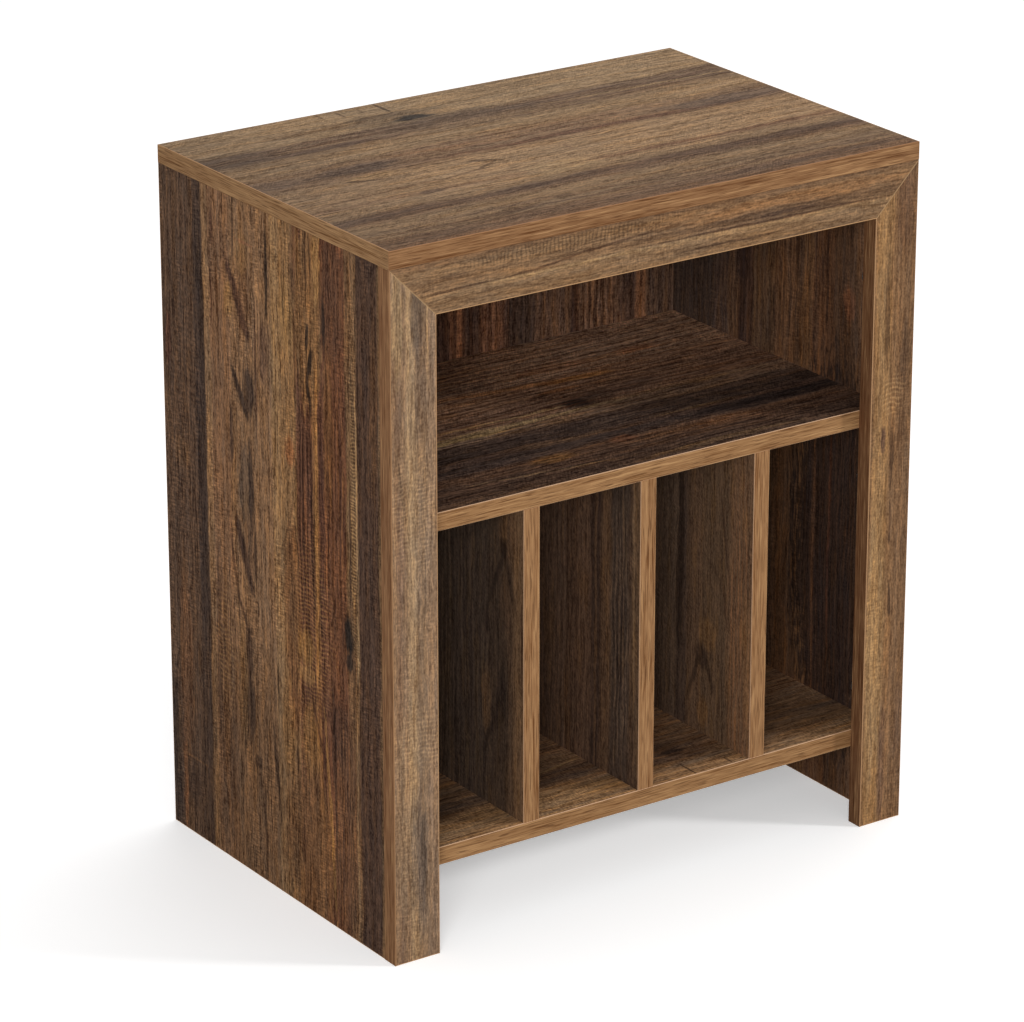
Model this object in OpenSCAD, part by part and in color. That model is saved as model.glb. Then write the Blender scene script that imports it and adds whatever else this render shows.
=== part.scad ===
// Record storage stand in laminated board. Four upright bays for 12-inch records stand under an open
// compartment, and a mitred frame of two stiles and a head rail covers the front edges of the carcass.
// The boards are joined with cam fittings, dowels and screws, and every open edge carries a glued band.
// Millimetres. X runs from left to right, Y from front to back, Z up. The origin is on the floor, in the
// middle of the width and of the depth.

/* [Stand] */
// Width over the two sides
stand_w = 600; // [560:10:700]
// Depth from the face of the frame to the rear edges
stand_d = 400; // [390:5:440]
// Height of the upper face of the top
stand_h = 700; // [660:10:800]

/* [Boards] */
// Thickness of the boards
board_t = 18; // [16:1:22]
// Thickness of the back panel
back_t = 15; // [15:1:18]
// Depth of the recess behind the back panel
back_recess = 20; // [10:1:30]
// Thickness of the edge bands
band_t = 1; // [0.8:0.1:1.5]

/* [Front frame] */
// Width of the stiles and height of the head rail
frame_w = 50; // [48:1:60]

/* [Shelves] */
// Clear height under the bottom shelf
foot_h = 81; // [60:1:100]
// Clear height of the record bays
bay_h = 317; // [317:1:330]

/* [Dividers] */
// Distance between the middles of neighbouring dividers
divider_pitch = 133.5; // [115:0.5:140]

/* [Hidden] */
$fn = 48;

// Planes of the carcass
half_w = stand_w / 2;
front_y = -stand_d / 2;
rear_y = stand_d / 2;
carcass_y = front_y + board_t;
inner_x = half_w - board_t;
top_z = stand_h - board_t;
back_y = rear_y - back_recess - back_t;
bottom_shelf_top = foot_h + board_t;
shelf_z = bottom_shelf_top + bay_h;
shelf_top = shelf_z + board_t;
stile_x = half_w - frame_w;
rail_z = top_z - frame_w;
divider_xs = [-divider_pitch, 0, divider_pitch];

// Middle planes of the boards, where the fittings run
side_mid_x = half_w - board_t / 2;
frame_mid_y = front_y + board_t / 2;
back_mid_y = back_y + back_t / 2;
shelf_mids = [foot_h + board_t / 2, shelf_z + board_t / 2];

// Bevel along the outer arrises of the bands and along the mitres of the frame
arris = 0.4;
// Length by which a cutting shape runs past the face that it opens
over = 1;

// Cam fitting: a housing in the face of one board grips the head of a bolt that is screwed into its
// neighbour. The housing's axis lies cam_run from the joint, and its floor cam_floor behind the bolt.
cam_run = 34;
cam_r = 7.5;
cam_floor = 5;
cam_bore_r = 4;
cam_gap = 0.1;
cam_recess = 0.3;
thread_r = 2.5;
thread_run = 11;

// Wooden dowel: dowel_face of its length stands in the face of one board, the rest in the other's edge
dowel_r = 4;
dowel_len = 30;
dowel_face = 11;
dowel_gap = 0.05;

// Spline inside each mitre
spline_len = 34;
spline_t = 4;
spline_w = 20;
spline_gap = 0.1;

// Screws: shank radius, head radius, head height and the run past the joint
divider_screw = [3.5, 5, 4, 30];
back_screw = [2, 4, 2.6, 24];
screw_gap = 0.05;

// Distances of the fittings along the boards
upper_h = rail_z - shelf_top;
cam_ys = [carcass_y + 60, back_y - 60];
dowel_ys = [carcass_y + 110, back_y - 110];
divider_ys = [carcass_y + 50, back_y - 50];
stile_cam_zs = [bottom_shelf_top + 0.08 * bay_h, bottom_shelf_top + 0.78 * bay_h, shelf_top + 0.6 * upper_h];
stile_dowel_zs = [0.7 * foot_h, bottom_shelf_top + 0.4 * bay_h, shelf_top + 0.2 * upper_h, rail_z - 15];
back_cam_zs = [bottom_shelf_top + 0.12 * bay_h, bottom_shelf_top + 0.88 * bay_h, shelf_top + 0.75 * upper_h];
back_dowel_zs = [bottom_shelf_top + 0.5 * bay_h, shelf_top + 0.35 * upper_h];
hung_cam_xs = [-half_w / 2, half_w / 2];
hung_dowel_xs = [-inner_x + 60, 0, inner_x - 60];
shelf_screw_xs = [-inner_x + 80, 0, inner_x - 80];
divider_screw_zs = [bottom_shelf_top + 0.25 * bay_h, bottom_shelf_top + 0.75 * bay_h];

// Places of the fittings. Each is a point on the joint and the turn of a frame whose +X runs into the
// board that has the bore in its edge, whose -X runs into the neighbour's face, and whose +Z looks out
// of the face that the cam is turned from.
function side_top(ys) = [for (s = [-1, 1], y = ys) [[s * side_mid_x, y, top_z], [0, 90, 90 + s * 90]]];
function hung_from_top(y, xs) = [for (x = xs) [[x, y, top_z], [0, 90, 90]]];
function shelf_side(ys, z) = [for (s = [-1, 1], y = ys) [[s * inner_x, y, z], [180, 0, 90 + s * 90]]];
function stile_side(zs) = [for (s = [-1, 1], z = zs) [[s * side_mid_x, carcass_y, z], [-s * 90, 0, 90]]];
function back_side(zs) = [for (s = [-1, 1], z = zs) [[s * inner_x, back_mid_y, z], [-90, 90 + s * 90, 0]]];
function divider_head(x) = [for (y = divider_ys) [[x, y, shelf_z], [0, 90, 0]]];
function divider_foot(x) = [for (y = divider_ys) [[x, y, bottom_shelf_top], [0, -90, 0]]];
function rear_edge(xs, z) = [for (x = xs) [[x, back_y, z], [0, 0, -90]]];

rail_cams = hung_from_top(frame_mid_y, hung_cam_xs);
top_cams = concat(side_top(cam_ys), rail_cams);
top_back_cams = hung_from_top(back_mid_y, hung_cam_xs);
stile_cams = stile_side(stile_cam_zs);
shelf_cams = [for (z = shelf_mids) each shelf_side(cam_ys, z)];
side_back_cams = back_side(back_cam_zs);
back_cams = concat(side_back_cams, top_back_cams);
rail_dowels = hung_from_top(frame_mid_y, hung_dowel_xs);
top_back_dowels = hung_from_top(back_mid_y, hung_dowel_xs);
top_dowel_places = concat(side_top(dowel_ys), rail_dowels, top_back_dowels);
stile_dowel_places = stile_side(stile_dowel_zs);
shelf_dowel_places = [for (z = shelf_mids) each shelf_side(dowel_ys, z)];
back_dowel_places = back_side(back_dowel_zs);
divider_dowel_places = [for (x = divider_xs) each divider_head(x)];
divider_screw_places = [for (x = divider_xs) each divider_foot(x)];
back_screw_places = concat(
    [for (z = shelf_mids) each rear_edge(shelf_screw_xs, z)],
    [for (z = divider_screw_zs) each rear_edge(divider_xs, z)]
);

// Finishes, as the photo shows them
module plank_print() color([0.40, 0.29, 0.21]) children();
module inner_print() color([0.32, 0.23, 0.17]) children();
module frame_print() color([0.52, 0.40, 0.29]) children();
module oak_print() color([0.60, 0.44, 0.28]) children();
module zinc() color([0.66, 0.67, 0.68]) children();
module steel() color([0.76, 0.74, 0.66]) children();
module beech() color([0.80, 0.64, 0.44]) children();

// A block between two opposite corners
module block(low, high) translate(low) cube(high - low);

// A board in the XZ plane that stands between the face of the frame and the carcass
module frame_slab(outline) {
    translate([0, carcass_y, 0]) rotate([90, 0, 0]) linear_extrude(board_t) polygon(outline);
}

// Repeats its children at every place in a list of fittings
module at(places) {
    for (p = places) translate(p[0]) rotate(p[1]) children();
}

// A round bar along X from x0 to x1
module bar(r, x0, x1) translate([x0, 0, 0]) rotate([0, 90, 0]) cylinder(r = r, h = x1 - x0);

// A turned piece along X, whose outline is a list of radius and distance
module turned(outline) rotate([0, 90, 0]) rotate_extrude() polygon(outline);

// The outline of a screw thread from x0 to x1, as ridges of radius r on a core
function ridges(r, x0, x1, count) =
    let (pitch = (x1 - x0) / count, core_r = 0.72 * r)
    [for (i = [0 : count - 1]) each [[core_r, x0 + i * pitch], [r, x0 + (i + 0.5) * pitch]]];

// The bore for a cam bolt and the pocket of its housing, in a board of thickness t
module cam_holes(places, t) {
    at(places) {
        bar(cam_bore_r, -over, cam_run);
        translate([cam_run, 0, -cam_floor]) cylinder(r = cam_r, h = cam_floor + t / 2 + over);
    }
}

// The holes that the cam bolts are screwed into
module thread_holes(places) at(places) bar(thread_r, -thread_run - over / 2, over);

// The holes of the dowels, in the face of one board and in the edge of the other
module dowel_face_holes(places) at(places) bar(dowel_r, -dowel_face - over / 2, over);
module dowel_edge_holes(places) at(places) bar(dowel_r, -over, dowel_len - dowel_face + over / 2);

// The way of a screw through a board of thickness t, countersunk, and the hole that it ends in
module screw_ways(places, screw, t) {
    at(places) {
        bar(screw[0], -t - over, over);
        translate([-t, 0, 0]) rotate([0, 90, 0]) cylinder(r1 = screw[1], r2 = screw[0], h = screw[2]);
    }
}
module screw_ends(places, screw) at(places) bar(screw[0], -over, screw[3] + over);

// Edge bands: strips glued to the open edges of the boards, with their two outer arrises bevelled. A
// band fills the box between two corners, and its turn names the way it faces and the way it runs.
front_along_x = [0, 0, 0];
rear_along_x = [0, 0, 180];
left_along_y = [0, 0, -90];
right_along_y = [0, 0, 90];
under_along_x = [90, 0, 0];
under_along_y = [90, 0, 90];
front_along_z = [0, 90, 0];
rear_along_z = [0, 90, 180];
left_along_z = [0, 90, -90];
right_along_z = [0, 90, 90];

module band(low, high, turn) {
    size = high - low;
    run = max(size);
    height = size.x + size.y + size.z - run - band_t;
    glued = band_t / 2;
    outer = -band_t / 2;
    oak_print() translate((low + high) / 2) rotate(turn) translate([-run / 2, 0, 0])
        rotate([90, 0, 90]) linear_extrude(run) polygon([
            [glued, -height / 2], [outer + arris, -height / 2], [outer, arris - height / 2],
            [outer, height / 2 - arris], [outer + arris, height / 2], [glued, height / 2]
        ]);
}

// Top: one board over the sides and the frame. Its front and rear bands run over the ends of the others.
top_core_x = half_w - band_t;
top_core_y = rear_y - band_t;
module top_panel() plank_print() difference() {
    block([-top_core_x, -top_core_y, top_z], [top_core_x, top_core_y, stand_h]);
    thread_holes(concat(top_cams, top_back_cams));
    dowel_face_holes(top_dowel_places);
}
module top_front_band() {
    band([-half_w, front_y, top_z], [half_w, -top_core_y, stand_h], front_along_x);
}
module top_rear_band() band([-half_w, top_core_y, top_z], [half_w, rear_y, stand_h], rear_along_x);
module top_left_band() {
    band([-half_w, -top_core_y, top_z], [-top_core_x, top_core_y, stand_h], left_along_y);
}
module top_right_band() {
    band([top_core_x, -top_core_y, top_z], [half_w, top_core_y, stand_h], right_along_y);
}

// Sides: upright boards from the floor to the top. x0 is a side's lower face along X.
left_x = -half_w;
right_x = inner_x;
module side_panel(x0) plank_print() difference() {
    block([x0, carcass_y, band_t], [x0 + board_t, rear_y - band_t, top_z]);
    cam_holes(concat(side_top(cam_ys), stile_cams), board_t);
    thread_holes(concat(shelf_cams, side_back_cams));
    dowel_edge_holes(concat(side_top(dowel_ys), stile_dowel_places));
    dowel_face_holes(concat(shelf_dowel_places, back_dowel_places));
}
module side_rear_band(x0) {
    band([x0, rear_y - band_t, 0], [x0 + board_t, rear_y, top_z], rear_along_z);
}
module side_foot_band(x0) {
    band([x0, carcass_y, 0], [x0 + board_t, rear_y - band_t, band_t], under_along_y);
}

// Back: a thinner board between the sides, from the top to the underside of the bottom shelf
module back_panel() inner_print() difference() {
    block([-inner_x, back_y, foot_h + band_t], [inner_x, back_y + back_t, top_z]);
    cam_holes(back_cams, back_t);
    dowel_edge_holes(concat(back_dowel_places, top_back_dowels));
    screw_ways(back_screw_places, back_screw, back_t);
}
module back_lower_band() {
    band([-inner_x, back_y, foot_h], [inner_x, back_y + back_t, foot_h + band_t], under_along_x);
}

// Shelves: boards between the sides, with the frame in front of them and the back behind
module shelf(z) inner_print() difference() {
    block([-inner_x, carcass_y + band_t, z], [inner_x, back_y, z + board_t]);
    cam_holes(shelf_cams, board_t);
    dowel_edge_holes(shelf_dowel_places);
    screw_ends(back_screw_places, back_screw);
}
module middle_shelf() difference() {
    shelf(shelf_z);
    dowel_face_holes(divider_dowel_places);
}
module bottom_shelf() difference() {
    shelf(foot_h);
    screw_ways(divider_screw_places, divider_screw, board_t);
}
module shelf_band(z) {
    band([-inner_x, carcass_y, z], [inner_x, carcass_y + band_t, z + board_t], front_along_x);
}

// Dividers: upright boards between the two shelves
module divider(x) inner_print() difference() {
    block([x - board_t / 2, carcass_y + band_t, bottom_shelf_top], [x + board_t / 2, back_y, shelf_z]);
    dowel_edge_holes(divider_head(x));
    screw_ends(divider_foot(x), divider_screw);
    screw_ends(back_screw_places, back_screw);
}
module divider_band(x) {
    band([x - board_t / 2, carcass_y, bottom_shelf_top],
        [x + board_t / 2, carcass_y + band_t, shelf_z], front_along_z);
}

// Frame: two stiles and a head rail in front of the carcass and under the top. Their mitres run from the
// outer upper corners to the corners of the opening. s is -1 on the left and 1 on the right.
mitre_mid_x = (half_w + stile_x) / 2;
mitre_mid_z = (top_z + rail_z) / 2;
module stile_zone(s) {
    frame_slab([[s * half_w, 0], [s * half_w, top_z], [s * stile_x, rail_z], [s * stile_x, 0]]);
}
module rail_zone() {
    frame_slab([[-half_w, top_z], [-stile_x, rail_z], [stile_x, rail_z], [half_w, top_z]]);
}
// Places its children, drawn along X, along the two mitres
module along_mitres() {
    for (s = [-1, 1]) {
        translate([s * mitre_mid_x, 0, mitre_mid_z]) rotate([0, -s * 45, 0]) children();
    }
}
// The fine groove that the bevelled arrises of the mitres leave in the face of the frame
module mitre_grooves() {
    along_mitres() translate([0, front_y, 0]) rotate([45, 0, 0])
        cube([2 * frame_w, sqrt(2) * arris, sqrt(2) * arris], center = true);
}
module splines(gap) {
    along_mitres() translate([0, frame_mid_y, 0])
        cube([spline_len + 2 * gap, spline_t + 2 * gap, spline_w + 2 * gap], center = true);
}
module stile(s) frame_print() difference() {
    intersection() {
        stile_zone(s);
        block([s * mitre_mid_x - frame_w / 2 + band_t, front_y - over, band_t],
            [s * mitre_mid_x + frame_w / 2 - band_t, carcass_y + over, top_z]);
    }
    thread_holes(stile_cams);
    dowel_face_holes(stile_dowel_places);
    splines(spline_gap);
    mitre_grooves();
}
module head_rail() frame_print() difference() {
    intersection() {
        rail_zone();
        block([-half_w, front_y - over, rail_z + band_t], [half_w, carcass_y + over, top_z]);
    }
    cam_holes(rail_cams, board_t);
    dowel_edge_holes(rail_dowels);
    splines(spline_gap);
    mitre_grooves();
}
// A band on the edge of a stile that lies between x0 and x1
module stile_edge_band(s, x0, turn) intersection() {
    stile_zone(s);
    band([x0, front_y, 0], [x0 + band_t, carcass_y, top_z], turn);
}
module stile_foot_band(s) {
    band([s * mitre_mid_x - frame_w / 2 + band_t, front_y, 0],
        [s * mitre_mid_x + frame_w / 2 - band_t, carcass_y, band_t], under_along_x);
}
module head_rail_band() intersection() {
    rail_zone();
    band([-stile_x - band_t, front_y, rail_z], [stile_x + band_t, carcass_y, rail_z + band_t], under_along_x);
}

// Cam housing: a cast drum with a mouth for the bolt's head, a chamber behind it and a cross recess
mouth_r = 3.6;
chamber_r = 4.5;
cross_size = [7, 1.4, 2.2];
module cam_housings(places, t) {
    face_z = t / 2 - cam_recess;
    zinc() at(places) translate([cam_run, 0, 0]) difference() {
        translate([0, 0, cam_gap - cam_floor])
            cylinder(r = cam_r - cam_gap, h = face_z + cam_floor - cam_gap);
        bar(mouth_r, -cam_r - over, 0);
        translate([0, 0, -mouth_r]) cylinder(r = chamber_r, h = 2 * mouth_r);
        for (turn = [0, 90]) {
            translate([0, 0, face_z]) rotate([0, 0, turn])
                cube([cross_size.x, cross_size.y, 2 * cross_size.z], center = true);
        }
    }
}

// Cam bolt: a thread in the neighbour's face, a collar at the joint, a shank, a neck and a round head
collar_r = 3.6;
shank_r = 2.3;
neck_r = 1.7;
head_r = 3.2;
module cam_bolts(places) steel() at(places) turned(concat(
    [[0, -thread_run]], ridges(thread_r - screw_gap, -thread_run, 0, 5),
    [[shank_r, 0], [collar_r, 0.2], [collar_r, 2.2], [shank_r, 2.8], [shank_r, cam_run - 8],
        [neck_r, cam_run - 7], [neck_r, cam_run - 3], [head_r, cam_run - 1.5],
        [head_r, cam_run + 1], [neck_r, cam_run + 2.5], [0, cam_run + 2.5]]
));

// Dowel: a beech pin with bevelled ends
module dowels(places) {
    r = dowel_r - dowel_gap;
    end = dowel_len - dowel_face;
    beech() at(places) turned([
        [0, -dowel_face], [r - 1, -dowel_face], [r, 1 - dowel_face],
        [r, end - 1], [r - 1, end], [0, end]
    ]);
}

// Screw: a countersunk head flush with the face of a board of thickness t, a shank and a thread. Its
// recess has six sides for the dividers' screws and is a cross for the back's.
module screws(places, screw, t) steel() at(places) {
    r = screw[0] - screw_gap;
    difference() {
        turned(concat(
            [[0, -t], [screw[1] - screw_gap, -t], [r, screw[2] - t], [r, -over]],
            ridges(r, 0, screw[3] - 3, 8), [[0, screw[3]]]
        ));
        translate([-t - over, 0, 0]) rotate([0, 90, 0]) children();
    }
}
module divider_screws() {
    screws(divider_screw_places, divider_screw, board_t) cylinder(r = 2.3, h = 2.6 + over, $fn = 6);
}
module back_screws() screws(back_screw_places, back_screw, back_t) {
    for (turn = [0, 90]) rotate([0, 0, turn]) block([-2, -0.45, 0], [2, 0.45, 1.6 + over]);
}

top_panel();
side_panel(left_x);  // left_side_panel
side_panel(right_x);  // right_side_panel
back_panel();
middle_shelf();
bottom_shelf();
divider(divider_xs[0]);  // left_divider
divider(divider_xs[1]);  // centre_divider
divider(divider_xs[2]);  // right_divider
stile(-1);  // left_stile
stile(1);  // right_stile
head_rail();
top_front_band();
top_rear_band();
top_left_band();
top_right_band();
side_rear_band(left_x);  // left_side_rear_band
side_rear_band(right_x);  // right_side_rear_band
side_foot_band(left_x);  // left_side_foot_band
side_foot_band(right_x);  // right_side_foot_band
back_lower_band();
shelf_band(shelf_z);  // middle_shelf_band
shelf_band(foot_h);  // bottom_shelf_band
divider_band(divider_xs[0]);  // left_divider_band
divider_band(divider_xs[1]);  // centre_divider_band
divider_band(divider_xs[2]);  // right_divider_band
stile_edge_band(-1, -half_w, left_along_z);  // left_stile_outer_band
stile_edge_band(-1, -stile_x - band_t, right_along_z);  // left_stile_inner_band
stile_foot_band(-1);  // left_stile_foot_band
stile_edge_band(1, half_w - band_t, right_along_z);  // right_stile_outer_band
stile_edge_band(1, stile_x, left_along_z);  // right_stile_inner_band
stile_foot_band(1);  // right_stile_foot_band
head_rail_band();
cam_housings(top_cams, board_t);  // top_cam_housings
cam_housings(stile_cams, board_t);  // stile_cam_housings
cam_housings(shelf_cams, board_t);  // shelf_cam_housings
cam_housings(back_cams, back_t);  // back_cam_housings
cam_bolts(top_cams);  // top_cam_bolts
cam_bolts(stile_cams);  // stile_cam_bolts
cam_bolts(shelf_cams);  // shelf_cam_bolts
cam_bolts(back_cams);  // back_cam_bolts
dowels(top_dowel_places);  // top_dowels
dowels(stile_dowel_places);  // stile_dowels
dowels(shelf_dowel_places);  // shelf_dowels
dowels(back_dowel_places);  // back_dowels
dowels(divider_dowel_places);  // divider_dowels
beech() splines(0);  // mitre_splines
divider_screws();
back_screws();
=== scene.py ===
import math

import bpy
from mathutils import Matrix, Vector


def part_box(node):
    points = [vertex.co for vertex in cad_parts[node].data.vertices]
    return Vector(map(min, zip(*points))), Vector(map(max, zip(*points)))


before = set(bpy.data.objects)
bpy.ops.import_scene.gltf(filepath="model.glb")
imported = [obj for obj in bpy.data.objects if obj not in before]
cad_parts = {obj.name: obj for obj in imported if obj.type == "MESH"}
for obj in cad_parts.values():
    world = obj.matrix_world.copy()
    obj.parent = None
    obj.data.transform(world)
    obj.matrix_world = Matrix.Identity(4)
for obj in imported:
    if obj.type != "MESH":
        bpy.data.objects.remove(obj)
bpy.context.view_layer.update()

# ---------------------------------------------------------------------------------------------------
# Top. A particle board with a printed wood skin on both faces: weathered brown planks whose grain runs
# along the width, with dark clouds, a knot and saw marks, and a painted shade over the left end of the
# upper face. It lies on the sides and on the front frame.

MM = 0.001


def swatch(red, green, blue):
    """A colour as it looks on a chart, 0 to 255, turned into the shader's linear values."""
    linear = []
    for part in (red, green, blue):
        level = part / 255
        linear.append(level / 12.92 if level <= 0.04045 else ((level + 0.055) / 1.055) ** 2.4)
    return (*linear, 1.0)


def put(tree, kind, sockets=None, **settings):
    """Adds a node, sets it up, and joins or fills its sockets."""
    node = tree.nodes.new("ShaderNode" + kind)
    for name, value in settings.items():
        setattr(node, name, value)
    for key, value in (sockets or {}).items():
        if isinstance(value, bpy.types.NodeSocket):
            tree.links.new(value, node.inputs[key])
        else:
            node.inputs[key].default_value = value
    return node


def put_group(tree, group, sockets):
    """Adds a node group, joins or fills its inputs, and hands over its outputs."""
    return put(tree, "Group", sockets, node_tree=group).outputs


def reckon(tree, operation, *values):
    """The result of a Math node on numbers or sockets."""
    return put(tree, "Math", dict(enumerate(values)), operation=operation).outputs[0]


def ramp_up(tree, value, low, high, start=0.0, end=1.0, curve="SMOOTHSTEP"):
    """Goes from start to end while value goes from low to high."""
    sockets = {"Value": value, "From Min": low, "From Max": high, "To Min": start, "To Max": end}
    return put(tree, "MapRange", sockets, interpolation_type=curve).outputs["Result"]


def blend(tree, share, first, second, way="MIX"):
    """Goes from the first colour to the second as share goes from 0 to 1."""
    sockets = {0: share, 6: first, 7: second}
    return put(tree, "Mix", sockets, data_type="RGBA", blend_type=way).outputs[2]


def grain_noise(tree, place, length, breadth, detail=2.0, offset=0.0):
    """Noise in grains that are length mm long and breadth mm wide, moved by offset to differ."""
    per_mm = (1 / length, 1 / breadth, 0.05)
    aside = (offset, 3 * offset, 7 * offset)
    sized = put(tree, "VectorMath", {0: place, 1: per_mm}, operation="MULTIPLY").outputs[0]
    moved = put(tree, "VectorMath", {0: sized, 1: aside}, operation="ADD").outputs[0]
    return put(tree, "TexNoise", {"Vector": moved, "Scale": 1.0, "Detail": detail}).outputs[0]


def swing(tree, place, length, breadth, detail=2.0, offset=0.0):
    """The same noise, going up and down about zero."""
    return reckon(tree, "SUBTRACT", grain_noise(tree, place, length, breadth, detail, offset), 0.5)


def open_group(name, takes, gives):
    """Starts a node group that takes and gives the named sockets."""
    tree = bpy.data.node_groups.new(name, "ShaderNodeTree")
    for direction, sockets in (("INPUT", takes), ("OUTPUT", gives)):
        for socket, kind in sockets.items():
            tree.interface.new_socket(socket, in_out=direction, socket_type="NodeSocket" + kind)
    return tree, tree.nodes.new("NodeGroupInput").outputs, tree.nodes.new("NodeGroupOutput").inputs


def make_wander():
    """Grain that wanders: moves the print sideways by a slow and a quick noise."""
    takes = {"Print": "Vector", "Reach": "Float"}
    tree, given, result = open_group("wandering grain", takes, {"Print": "Vector"})
    slow = swing(tree, given["Print"], length=170, breadth=45, detail=1.0)
    quick = swing(tree, given["Print"], length=30, breadth=13, detail=1.0, offset=5.3)
    shift = reckon(tree, "MULTIPLY", reckon(tree, "MULTIPLY_ADD", quick, 0.5, slow), given["Reach"])
    sideways = put(tree, "CombineXYZ", {"Y": shift}).outputs[0]
    moved = put(tree, "VectorMath", {0: given["Print"], 1: sideways}, operation="ADD")
    tree.links.new(moved.outputs[0], result["Print"])
    return tree


def make_clouds():
    """Slow changes of colour along a plank, warmer in one place and cooler in another."""
    takes = {"Print": "Vector", "Ground": "Color", "Warm": "Color", "Cool": "Color", "Share": "Float"}
    tree, given, result = open_group("clouds", takes, {"Color": "Color"})
    wide = grain_noise(tree, given["Print"], length=100, breadth=10, offset=9.4)
    small = swing(tree, given["Print"], length=30, breadth=4, detail=1.0, offset=12.1)
    tone = reckon(tree, "MULTIPLY_ADD", small, 0.7, wide)
    warm = reckon(tree, "MULTIPLY", ramp_up(tree, tone, 0.5, 0.74), given["Share"])
    cool = reckon(tree, "MULTIPLY", ramp_up(tree, tone, 0.5, 0.26), given["Share"])
    colour = blend(tree, warm, given["Ground"], given["Warm"], "MULTIPLY")
    tree.links.new(blend(tree, cool, colour, given["Cool"], "MULTIPLY"), result["Color"])
    return tree


def make_streaks():
    """Grain lines from broad to fine, a grit, and dark pores."""
    takes = {"Print": "Vector", "Ground": "Color", "Dark": "Color", "Pale": "Color",
        "Strength": "Float", "Pores": "Float"}
    tree, given, result = open_group("grain streaks", takes, {"Color": "Color", "Relief": "Float"})
    tone = 0.5
    for length, breadth, detail, offset, weight in (
        (150, 6, 2, 1.7, 1.2),
        (62, 2.7, 2, 2.9, 1.6),
        (18, 1.4, 1, 4.1, 1.6),
        (7, 2.6, 1, 8.4, 1.4),
        (2.6, 1.5, 0, 5.7, 1.1),
    ):
        noise = swing(tree, given["Print"], length, breadth, detail, offset)
        tone = reckon(tree, "MULTIPLY_ADD", noise, weight, tone)
    dark = reckon(tree, "MULTIPLY", ramp_up(tree, tone, 0.45, 1.2), given["Strength"])
    pale = reckon(tree, "MULTIPLY", ramp_up(tree, tone, 0.55, -0.2), given["Strength"])
    colour = blend(tree, dark, given["Ground"], given["Dark"], "MULTIPLY")
    colour = blend(tree, pale, colour, given["Pale"], "MULTIPLY")
    pore_noise = grain_noise(tree, given["Print"], length=10, breadth=1.1, detail=0.0, offset=6.6)
    pores = reckon(tree, "MULTIPLY", ramp_up(tree, pore_noise, 0.60, 0.72), given["Pores"])
    tree.links.new(blend(tree, pores, colour, given["Dark"], "MULTIPLY"), result["Color"])
    height = reckon(tree, "MULTIPLY_ADD", tone, -0.5, 1.0)
    tree.links.new(reckon(tree, "MULTIPLY_ADD", pores, -0.5, height), result["Relief"])
    return tree


def make_saw_marks():
    """Short strokes that a saw left across the grain, in patches: pale ridges and dark scratches."""
    takes = {"Print": "Vector", "Slant": "Float", "Cover": "Float"}
    tree, given, result = open_group("saw marks", takes, {"Ridge": "Float", "Scratch": "Float"})
    parts = put(tree, "SeparateXYZ", {0: given["Print"]}).outputs
    along = reckon(tree, "MULTIPLY_ADD", parts["Y"], given["Slant"], parts["X"])
    turned = put(tree, "CombineXYZ", {"X": parts["Y"], "Y": along, "Z": parts["Z"]}).outputs[0]
    strokes = grain_noise(tree, turned, length=9, breadth=1.9, offset=3.3)
    patches = grain_noise(tree, given["Print"], length=85, breadth=24, offset=8.8)
    edge = reckon(tree, "MULTIPLY_ADD", given["Cover"], -0.4, 0.7)
    patches = ramp_up(tree, reckon(tree, "SUBTRACT", patches, edge), -0.06, 0.10)
    ridge = reckon(tree, "MULTIPLY", ramp_up(tree, strokes, 0.48, 0.72), patches)
    scratch = reckon(tree, "MULTIPLY", ramp_up(tree, strokes, 0.52, 0.28), patches)
    tree.links.new(ridge, result["Ridge"])
    tree.links.new(scratch, result["Scratch"])
    return tree


def make_soft_patch():
    """A soft-edged patch: a cloud, a streak, a knot or a crack in the print, and also the painted shade on
    the top's left end and the painted highlights along the mitres. It can lean to one side.
    """
    takes = {"Print": "Vector", "Ragged": "Float", "Middle": "Vector", "Size": "Vector",
        "Lean": "Float", "Edge": "Float", "Share": "Float"}
    tree, given, result = open_group("soft_patch", takes, {"Mask": "Float"})
    away = put(tree, "VectorMath", {0: given["Print"], 1: given["Middle"]}, operation="SUBTRACT").outputs[0]
    along = put(tree, "SeparateXYZ", {0: away}).outputs["X"]
    aside = put(tree, "CombineXYZ", {"Y": reckon(tree, "MULTIPLY", along, given["Lean"])}).outputs[0]
    away = put(tree, "VectorMath", {0: away, 1: aside}, operation="SUBTRACT").outputs[0]
    reach = put(tree, "VectorMath", {0: away, 1: given["Size"]}, operation="DIVIDE").outputs[0]
    reach = put(tree, "VectorMath", {0: reach, 1: (1, 1, 0)}, operation="MULTIPLY").outputs[0]
    reach = put(tree, "VectorMath", {0: reach}, operation="LENGTH").outputs["Value"]
    reach = reckon(tree, "ADD", reach, given["Ragged"])
    inner = reckon(tree, "MULTIPLY_ADD", given["Edge"], -0.5, 1.0)
    outer = reckon(tree, "MULTIPLY_ADD", given["Edge"], 0.5, 1.0)
    mask = ramp_up(tree, reach, outer, inner)
    tree.links.new(reckon(tree, "MULTIPLY", mask, given["Share"]), result["Mask"])
    return tree


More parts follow.
